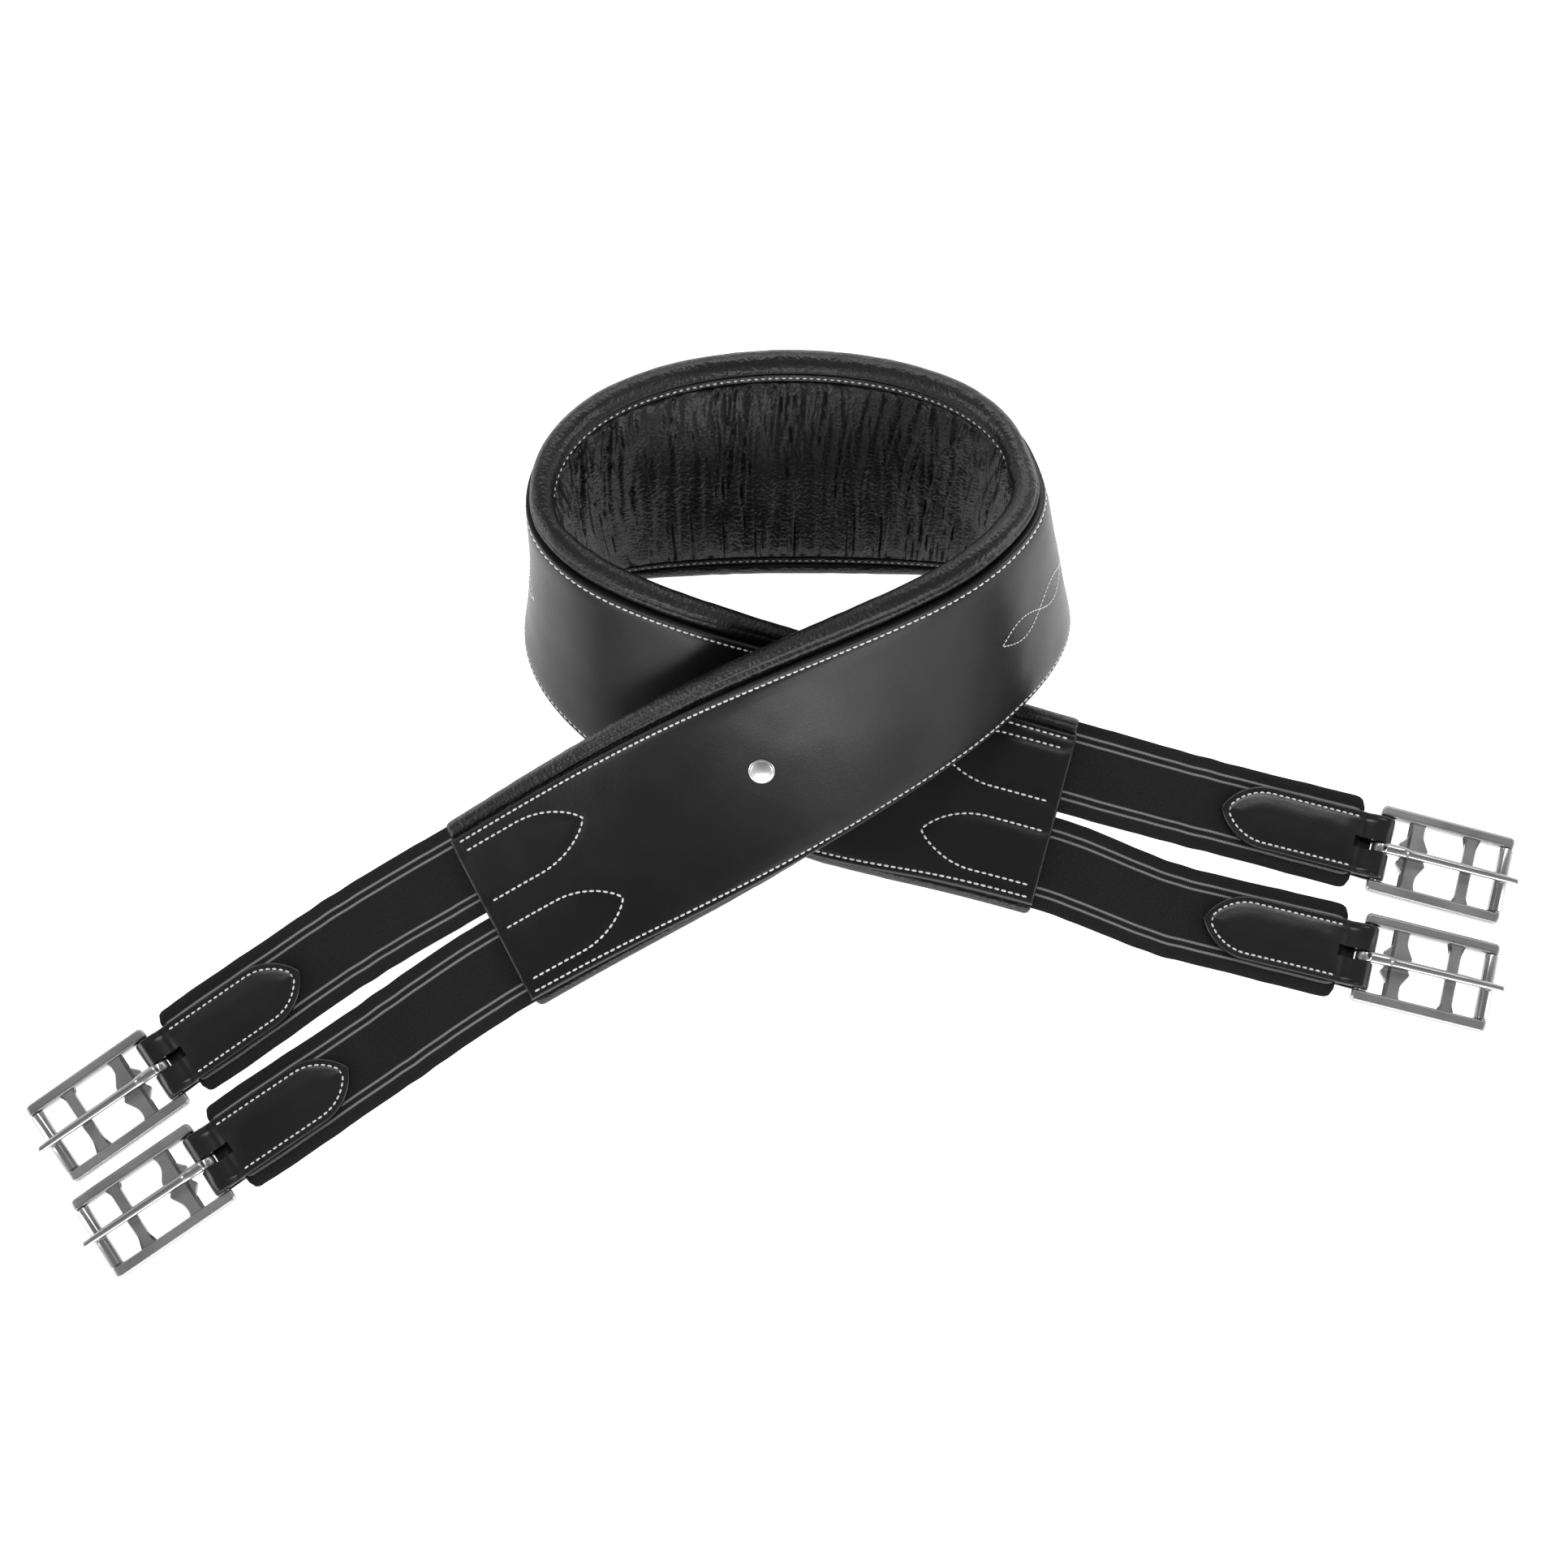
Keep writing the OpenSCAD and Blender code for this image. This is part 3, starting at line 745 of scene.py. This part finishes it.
def elastic(k):
    """A strap from inside the body to the chape, with ribs and two grey lines near each edge."""
    x, y, angle = BUCKLES[k]
    way = -1 if "left" in k else 1
    side_x = STRAP_OFF if "upper" in k else -STRAP_OFF
    end = 0.0 if way < 0 else float(LAST)
    d = np.array([math.cos(math.radians(angle)), math.sin(math.radians(angle)), 0])
    flat = way * np.array([-d[1], d[0], 0])
    bar = np.array([x + SHIFT[0], y + SHIFT[1], BAR_Z])
    # The middle line: sewn inside the body, a free curve, then straight under the chape
    u = end - way * np.linspace(0.12, 0, 12)
    inside = placed(u, np.full(len(u), side_x), np.full(len(u), STRAP_Q))
    _, forward, width, out = route(u)
    start, stop = inside[-1], bar - (CHAPE_L + STRAP_LEAD) * d
    reach = np.linalg.norm(stop - start) / 3
    b, c = start + way * forward[-1] * reach, stop - d * reach
    t = np.linspace(0, 1, 110)[1:, None]
    free = ((1 - t) ** 3 * start + 3 * t * (1 - t) ** 2 * b + 3 * t ** 2 * (1 - t) * c
            + t ** 3 * stop)
    straight = (CHAPE_L + STRAP_LEAD - STRAP_GAP) * np.linspace(0, 1, 50)[1:, None]
    middle = np.concatenate([inside, free, stop + straight * d])
    level = np.array([0, 0, 1.0])
    sides = np.concatenate([width, unit(width[-1] * (1 - t) + flat * t),
                            np.repeat(flat[None], len(straight), 0)])
    ups = np.concatenate([out, unit(out[-1] * (1 - t) + level * t),
                          np.repeat(level[None], len(straight), 0)])
    # The width, with round corners at the chape's end and a slightly uneven edge
    along = np.concatenate([[0], np.cumsum(np.linalg.norm(np.diff(middle, axis=0), axis=1))])
    to_end = along[-1] - along
    corner = 4.0
    inset = corner - np.clip(to_end, 0, corner)
    half = STRAP_W / 2 - corner + np.sqrt(np.clip(corner ** 2 - inset ** 2, 0, None))
    half = half + 0.3 * noise(along / 7, along * 0, 9) * ease(to_end / 6) * ease((along - 10) / 10)
    v = np.concatenate([[-1, -0.992, -0.975, -0.94], np.linspace(-0.91, 0.91, 86),
                        [0.94, 0.975, 0.992, 1]])
    across = half[:, None] * v
    mm = STRAP_W / 2 * v[None, :] + 0 * across
    thick = STRAP_T / 2 * np.sqrt(np.clip(1 - np.abs(v) ** 14, 0.02, 1)) - 0.08
    cord = sum(bump(np.abs(mm) - line, 0.42) for line in GREY_LINES)
    seat = ease((along - 8) / 12)[:, None]
    wavy = 0.35 * noise(along[:, None] / 22, mm / 14, 10) * seat * ease(to_end - CHAPE_L)[:, None]
    top = thick + 0.18 * cord + 0.05 * np.cos(mm * 2 * math.pi / RIB) * (np.abs(mm) < 18.5)
    grid = middle[:, None] + across[..., None] * sides[:, None]
    upper = grid + ((top + wavy)[..., None]) * ups[:, None]
    under = grid + ((-top + wavy)[..., None]) * ups[:, None]
    verts, faces = slab(upper, under)
    strip = np.stack([mm, along[:, None] + 0 * mm, 0 * mm], -1).reshape(-1, 3)
    paint = sum(bump(np.abs(mm) - line, 0.5) for line in GREY_LINES)
    paint = np.clip(paint * 1.5 - 0.35, 0, 1).ravel()
    piece = make("elastic_strap_" + k, verts, faces, ELASTIC, sharp=50,
                 attributes={"strip": np.concatenate([strip, strip]),
                             "cord": np.concatenate([paint, paint])})
    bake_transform(piece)
    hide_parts("elastic_" + k)


# The chape's point is two arcs of this radius, which start at this x
ARCH_R = (POINT_L ** 2 + CHAPE_W ** 2 / 4) / CHAPE_W
ARCH_X = POINT_L - CHAPE_L
THREAD_IN = 2.7
# Half the width of the tongue's slit, and how far behind the bar it reaches in each leaf
SLIT_HALF, SLIT_BACK, SLIT_UNDER = 2.4, 11.2, 3.6
# Outer and inner radius of the fold round the bar
FOLD_OUT, FOLD_IN = 4.15, 1.75


def arch_half(x, inset=0.0):
    """Half the chape's width at x, drawn inset from its edge."""
    r = ARCH_R - inset
    arch = np.sqrt(np.clip(r ** 2 - (x - ARCH_X) ** 2, 0, None)) - (ARCH_R - CHAPE_W / 2)
    return np.where(x >= ARCH_X, CHAPE_W / 2 - inset, arch)


def leaf_z(x, y, top):
    """Height of a leaf's outer face above the bar's middle."""
    h = np.maximum(arch_half(x), 0.01)
    slant = np.where(x < ARCH_X, np.sqrt(np.clip(1 - ((x - ARCH_X) / ARCH_R) ** 2, 0.05, 1)), 1)
    e = np.clip((h - np.abs(y)) * slant, 0, None)
    near = np.clip(e, 0, 1.0)
    fold = ease((x + 7) / 5)
    z = 3.6 + 0.55 * fold - (1 - np.sqrt(1 - (1 - near) ** 2)) * 0.9
    z = z - 0.35 * bump(e - THREAD_IN, 0.75) * (1 - fold) - 0.2 * bump(e - 1.3, 0.35)
    z = z - 0.5 * bump(x + 8, 1.8)
    dome = (1.0 if top else 0.15) * ease((e - 2) / 8) * ease((-8 - x) / 9)
    return z + dome + 0.12 * noise(x / 8, y / 7, 11 if top else 12) * ease(e / 4)


def chape(k):
    """Two pointed leaves sewn over the strap, and the fold that joins them round the bar."""
    tip = -CHAPE_L + 0.02 + np.concatenate([[0, 0.05, 0.15, 0.35, 0.7, 1.2],
                                            np.linspace(1.9, 20, 26)])
    x = np.concatenate([tip, np.linspace(tip[-1], -12, 40)[1:], np.linspace(-12, 0, 20)[1:]])
    arc = np.radians(np.linspace(90, -90, 26)[1:-1])
    # Columns across, as shares of half the width, with some on the slit's sides
    side = CHAPE_W / 2
    v = np.array([1, 0.995, 0.98, 0.96, 0.93, 0.9, 0.87, 0.84, 0.81, 0.78, 0.74, 0.69, 0.6, 0.5,
                  0.4, 0.28, SLIT_HALF / side])
    v = np.concatenate([-v, np.linspace(-SLIT_HALF, SLIT_HALF, 5)[1:-1] / side, v[::-1]])
    y = np.maximum(arch_half(x), 0.25)[:, None] * v
    px = x[:, None] + 0 * y
    top = np.stack([px, y, leaf_z(px, y, True)], -1)
    low = np.stack([px, y, -leaf_z(px, y, False)], -1)
    # Half the gap between the leaves, wider past the strap's end
    clear = 1.2 + 0.55 * ease((px + STRAP_GAP) / 3)
    ya = side * v[None, :] + 0 * arc[:, None]
    round_off = 0.9 * (1 - np.sqrt(1 - (1 - np.clip(side - np.abs(ya), 0, 1)) ** 2))
    outer_r = FOLD_OUT - round_off + 0.12 * noise(arc[:, None] * 2, ya / 5, 13)

    def bent(r):
        return np.stack([r * np.cos(arc)[:, None], ya, r * np.sin(arc)[:, None]], -1)

    outer = np.concatenate([top, bent(outer_r), low[::-1]])
    inner = np.concatenate([np.stack([px, y, clear], -1), bent(np.full_like(ya, FOLD_IN)),
                            np.stack([px, y, -clear], -1)[::-1]])
    # The slit, cut out of both grids
    rows = len(outer) - 1
    mask = np.ones((rows, len(v) - 1), bool)
    reach = np.concatenate([x, FOLD_OUT * np.cos(arc), x[::-1]])
    upper = np.arange(rows) < len(x)
    open_rows = (reach[:-1] + reach[1:]) / 2 > -np.where(upper, SLIT_BACK, SLIT_UNDER)
    open_columns = np.abs(v[:-1] + v[1:]) / 2 * side < SLIT_HALF
    mask[np.ix_(open_rows, open_columns)] = False
    verts, faces = slab(outer, inner, mask)
    # Edges are rubbed, most of all on the outer face
    h = np.maximum(arch_half(x), 0.25)[:, None]
    wear = 0.6 * bump((h - np.abs(y)) - 0.4, 0.4)
    ring = bump(side - np.abs(ya) - 0.4, 0.5)
    edge = np.concatenate([wear, ring, wear[::-1]]).ravel()
    m = bar_matrix(k)
    piece = make("chape_strap_" + k, moved(verts, m), faces, CHAPE,
                 attributes={"edge": np.concatenate([edge, 0.3 * edge])})
    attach(piece, "chape_" + k)
    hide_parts("chape_" + k)
    # Stitching round the point, on both leaves
    run = np.linspace(-10.5, -CHAPE_L + THREAD_IN + 1.2, 300)
    half = np.maximum(arch_half(run, THREAD_IN), 0)
    run, half = run[half > 0.35], half[half > 0.35]
    px = np.concatenate([run, run[::-1]])
    py = np.concatenate([half, -half[::-1]])
    parts = []
    for sign in (1, -1):
        path = np.stack([px, py, sign * leaf_z(px, py, sign > 0)], -1)
        parts.append(stitches(path, np.tile([0, 0, float(sign)], (len(path), 1)),
                              pitch=2.7, length=2.0, radius=0.38, sink=0.3))
    verts, faces = joined(parts)
    thread = make("stitch_chape_" + k, moved(verts, m), faces, THREAD, sharp=80, recalc=False)
    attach(thread, "chape_" + k)


# ---- Buckles ----

# Distances from the chape bar to the roller and to the middles of the two flat bars
ROLLER_U, LOBED_U, PLAIN_U = 51.5, 14, 36.5
# The side rods' distance from the middle, their thickness and that of the bars
ROD_V, ROD_D, BAR_D, FLAT_T = 16.5, 5, 3.2, 3


def bevelled(outline, low, high, width, segments=3):
    """Points and faces of a plate with rounded rims, its outline in the x y plane."""
    bm = bmesh.new()
    face = bm.faces.new([bm.verts.new((x, y, low)) for x, y in outline])
    raised = bmesh.ops.extrude_face_region(bm, geom=[face])
    bmesh.ops.translate(bm, vec=(0, 0, high - low),
                        verts=[g for g in raised["geom"] if isinstance(g, bmesh.types.BMVert)])
    bmesh.ops.recalc_face_normals(bm, faces=bm.faces)
    rims = [e for e in bm.edges if e.calc_face_angle(0) > math.radians(40)]
    bmesh.ops.bevel(bm, geom=rims, offset=width, segments=segments, profile=0.5, affect="EDGES")
    bmesh.ops.triangulate(bm, faces=[f for f in bm.faces if len(f.verts) > 4])
    verts = np.array([v.co for v in bm.verts])
    bm.verts.index_update()
    faces = [[v.index for v in f.verts] for f in bm.faces]
    bm.free()
    return verts, faces


def lathe(profile, sides, centre=(0, 0, 0)):
    """Rings of points round the y axis; the profile is given as (along, radius)."""
    turn = np.arange(sides) * 2 * math.pi / sides
    p = np.array(profile, float)
    a, r = p[:, :1] + 0 * turn, p[:, 1:]
    return np.stack([r * np.cos(turn), a, r * np.sin(turn)], -1) + np.array(centre)


def rod(length, radius, centre):
    """A bar along y with rounded ends."""
    h, e = length / 2, min(0.5, radius / 3)
    profile = [(-h, 0.02), (-h, radius - e), (-h + e * 0.3, radius - e * 0.3), (-h + e, radius),
               (h - e, radius), (h - e * 0.3, radius - e * 0.3), (h, radius - e), (h, 0.02)]
    return tube(lathe(profile, 28, centre))


def smooth_half(points, n=5):
    """An open smooth curve through points."""
    p = np.array(points, float)
    p = np.vstack([2 * p[0] - p[1], p, 2 * p[-1] - p[-2]])
    out = []
    for i in range(1, len(p) - 2):
        a, b, c, d = p[i - 1:i + 3]
        for t in np.arange(n) / n:
            out.append(tuple(0.5 * (2 * b + (c - a) * t + (2 * a - 5 * b + 4 * c - d) * t ** 2
                                    + (3 * b - a - 3 * c + d) * t ** 3)))
    out.append(tuple(p[-2]))
    return out


def lobed_outline():
    """The bar with a lobe on each edge: one side of the middle is drawn, the other mirrored."""
    left = smooth_half([(-4.3, 15.2), (-3.0, 13.4), (-2.7, 11.2), (-3.3, 8.6), (-5.0, 6.2),
                        (-6.6, 4.2), (-5.6, 2.2), (-4.9, 0)])
    right = smooth_half([(4.4, 0), (5.0, 1.8), (5.7, 3.4), (4.3, 6.0), (3.0, 8.6), (2.7, 11.2),
                         (3.0, 13.4), (4.3, 15.2)])
    loop = (left + [(x, -y) for x, y in reversed(left)][1:]
            + [(x, -y) for x, y in reversed(right)] + right[1:])
    return [(LOBED_U + x, y) for x, y in loop]


def plain_outline():
    """The bar that only widens where it meets the rails."""
    half = smooth_half([(-4.6, 15.2), (-2.9, 13.6), (-2.5, 11), (-2.5, 0)], 4)
    loop = [(PLAIN_U + x, y) for x, y in half] + [(PLAIN_U + x, -y) for x, y in reversed(half)][1:]
    back = [(PLAIN_U - x, -y) for x, y in half] + [(PLAIN_U - x, y) for x, y in reversed(half)][1:]
    return loop + back


def rail_outline(side):
    """One side rail, its outer corners rounded more than its inner ones."""
    first, final = -ROD_D / 2, ROLLER_U + ROD_D / 2
    pts = []
    # Each corner's middle, radius, first angle and number of points
    for x, y, r, start, n in ((first + 2.3, ROD_V + 0.2, 2.3, 180, 8),
                              (final - 2.3, ROD_V + 0.2, 2.3, 90, 8),
                              (final - 1.0, ROD_V - 1.5, 1.0, 0, 4),
                              (first + 1.0, ROD_V - 1.5, 1.0, -90, 4)):
        for degrees in np.linspace(start, start - 90, n):
            a = math.radians(degrees)
            pts.append((x + r * math.cos(a), side * (y + r * math.sin(a))))
    return pts


def finish_faces(obj, matrix):
    """Flat faces that look up or down are satin, the rest are polished."""
    up = (matrix.to_3x3() @ Vector((0, 0, 1))).normalized()
    for f in obj.data.polygons:
        level = abs(f.normal.dot(up))
        f.material_index = int(level > 0.8)
        f.use_smooth = level <= 0.97


def frame_piece(k):
    """Two rails, the round chape bar and end bar, and the two flat bars."""
    m = bar_matrix(k, True)
    parts = [bevelled(rail_outline(side), -ROD_D / 2, ROD_D / 2, 1.3, 4) for side in (1, -1)]
    parts += [rod(2 * ROD_V, BAR_D / 2, (u, 0, 0)) for u in (0, ROLLER_U)]
    parts += [bevelled(line, -FLAT_T / 2, FLAT_T / 2, 0.45)
              for line in (lobed_outline(), plain_outline())]
    verts, faces = joined(parts)
    piece = make("buckle_frame_" + k, moved(verts, m), faces, [POLISHED, SATIN_AND_SHADE], sharp=35)
    finish_faces(piece, m)
    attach(piece, "frame_" + k)
    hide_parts("frame_" + k)


def tongue_piece(k):
    """An eye round the chape bar and a ridged shank that rests on the roller."""
    m = bar_matrix(k, True)
    a = np.linspace(-2, 2, 9)
    outer = 3.5 - 0.35 * (np.abs(a) / 2) ** 4
    profile = list(zip(a, outer)) + [(2, 1.95), (1.7, 1.68), (-1.7, 1.68), (-2, 1.95)]
    eye_v = lathe(profile, 32).reshape(-1, 3)
    eye_f = ring_faces(len(profile), 32)
    # The shank: half its width and height, and its middle's height, along u from the bar
    u = np.concatenate([np.linspace(-1.5, 12, 28), np.linspace(12, 54, 40)[1:],
                        np.linspace(54, 58.3, 12)[1:]])
    wide = np.interp(u, [-1.5, 0, 2.5, 8.5, 10.5, 12.5, 42, 54, 57.2, 58.3],
                     [0.8, 1.9, 2.3, 2.35, 2.3, 1.95, 1.85, 1.5, 1.35, 0.5])
    high = np.interp(u, [-1.5, 0, 1, 2.2, 8.5, 10, 11.5, 42, 54, 57.5, 58.3],
                     [0.3, 0.3, 0.35, 1.75, 1.95, 1.95, 1.6, 1.75, 1.45, 1.2, 0.4])
    z = (3.9 + 0.8 * np.clip(u, 0, None) / ROLLER_U - 0.25 * ease((u - 53) / 5)
         + 0.35 * bump(u - 9, 2.2))
    z = z - 0.8 * (1 - ease((u + 0.5) / 2.5))
    # The section is a little peaked on top
    turn = np.arange(20) * 2 * math.pi / 20
    ridge = (np.sign(np.sin(turn)) * np.abs(np.sin(turn)) ** 0.85
             * (1 + 0.12 * bump(np.abs(turn - math.pi / 2), 0.4)))
    body = np.sign(np.cos(turn)) * np.abs(np.cos(turn)) ** 1.05
    shank = np.stack([u[:, None] + 0 * turn, wide[:, None] * body,
                      z[:, None] + high[:, None] * ridge], -1)
    verts, faces = joined([(eye_v, [eye_f]), tube(shank)])
    piece = make("buckle_tongue_" + k, moved(verts, m), faces, [POLISHED, SATIN_AND_SHADE], sharp=50)
    # The eye takes the darker satin steel as painted shade, where it sits in the chape's slit
    for polygon in piece.data.polygons[:len(eye_f)]:
        polygon.material_index = 1
    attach(piece, "tongue_" + k)
    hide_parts("tongue_" + k)


def roller_piece(k):
    """A rolled tube with a fine seam along it."""
    m = bar_matrix(k, True)
    h, sides = 13.7, 48
    profile = [(-h, 1.75), (-h, 2.6), (-h + 0.12, 2.88), (-h + 0.4, 3.0),
               (h - 0.4, 3.0), (h - 0.12, 2.88), (h, 2.6), (h, 1.75)]
    rings = lathe(profile, sides)
    turn = np.arange(sides) * 2 * math.pi / sides
    seam = 1 - 0.11 * bump(turn - 2.2, 0.09)
    rings[1:-1, :, 0] *= seam
    rings[1:-1, :, 2] *= seam
    rings[..., 0] += ROLLER_U
    piece = make("buckle_roller_" + k, moved(rings.reshape(-1, 3), m),
                 [ring_faces(len(profile), sides)], POLISHED, sharp=40)
    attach(piece, "roller_" + k)
    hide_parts("roller_" + k)


for corner in BUCKLES:
    elastic(corner)
    chape(corner)
    frame_piece(corner)
    tongue_piece(corner)
    roller_piece(corner)

# ---- Rivet ----


def rivet():
    """A stud whose stem goes through the leather, with a rim and a domed middle."""
    mid, forward, width, out = (v[0] for v in route(np.array([2.0])))
    base = np.stack([forward, width, out], -1)
    profile = [(-6.1, 0.02), (-6.1, 1.45), (0.2, 1.45), (0.2, 5.0), (0.35, 5.25), (0.75, 5.25),
               (1.0, 4.95), (1.02, 4.5), (1.25, 4.3)]
    profile += [(1.25 + 0.95 * (1 - (r / 4.3) ** 2), r) for r in np.linspace(4.2, 0.02, 14)]
    rings = lathe(profile, 48)
    local = np.stack([rings[..., 0], rings[..., 2], rings[..., 1]], -1)
    verts, faces = tube(local)
    piece = make("rivet_cap", verts @ base.T + mid, faces, NICKEL, sharp=40)
    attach(piece, "girth_body")
    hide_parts("rivet_stud")


rivet()

# ---- Floor and light ----

floor_mesh = bpy.data.meshes.new("floor")
floor_mesh.from_pydata([(-3, -3, 0), (3, -3, 0), (3, 3, 0), (-3, 3, 0)], [], [(0, 1, 2, 3)])
floor = bpy.data.objects.new("floor", floor_mesh)
bpy.context.scene.collection.objects.link(floor)
paper = Shader("paper", Roughness=0.9, Emission_Color=(1, 1, 1, 1), Emission_Strength=1.0)
paper.put("Base Color", paper.mix(paper.tex("Noise", 400.0), grey(0.9), grey(0.93)))
floor_mesh.materials.append(paper.material)


def light(name, place, target, size, power):
    """A soft rectangular light, of a size in metres and a power in watts."""
    data = bpy.data.lights.new(name, "AREA")
    data.shape = "RECTANGLE"
    data.size, data.size_y = size
    data.energy = power
    obj = bpy.data.objects.new(name, data)
    obj.location = place
    obj.rotation_euler = (Vector(target) - Vector(place)).to_track_quat("-Z", "Y").to_euler()
    bpy.context.scene.collection.objects.link(obj)


light("back", (0.1, 1.4, 1.3), (0, 0.1, 0.05), (1.8, 0.5), 16)
light("front", (0, -1.4, 0.3), (0, 0.1, 0.06), (1.2, 0.4), 9)
light("left", (-1.5, -0.4, 0.6), (0, 0, 0.05), (0.5, 0.9), 9)
light("right", (1.5, -0.4, 0.6), (0, 0, 0.05), (0.5, 0.9), 9)

# White surroundings that get darker upward
world = bpy.data.worlds.new("studio")
world.use_nodes = True
sky = world.node_tree
ray = sky.nodes.new("ShaderNodeTexCoord")
height = sky.nodes.new("ShaderNodeSeparateXYZ")
fade = sky.nodes.new("ShaderNodeMapRange")
for key, value in (("From Min", 0.15), ("From Max", 0.9), ("To Min", 1.0), ("To Max", 0.32)):
    fade.inputs[key].default_value = value
sky.links.new(ray.outputs["Generated"], height.inputs[0])
sky.links.new(height.outputs[2], fade.inputs["Value"])
sky.links.new(fade.outputs[0], sky.nodes["Background"].inputs[1])
sky.nodes["Background"].inputs[0].default_value = (1, 1, 1, 1)
bpy.context.scene.world = world
bpy.context.scene.view_settings.view_transform = "Standard"
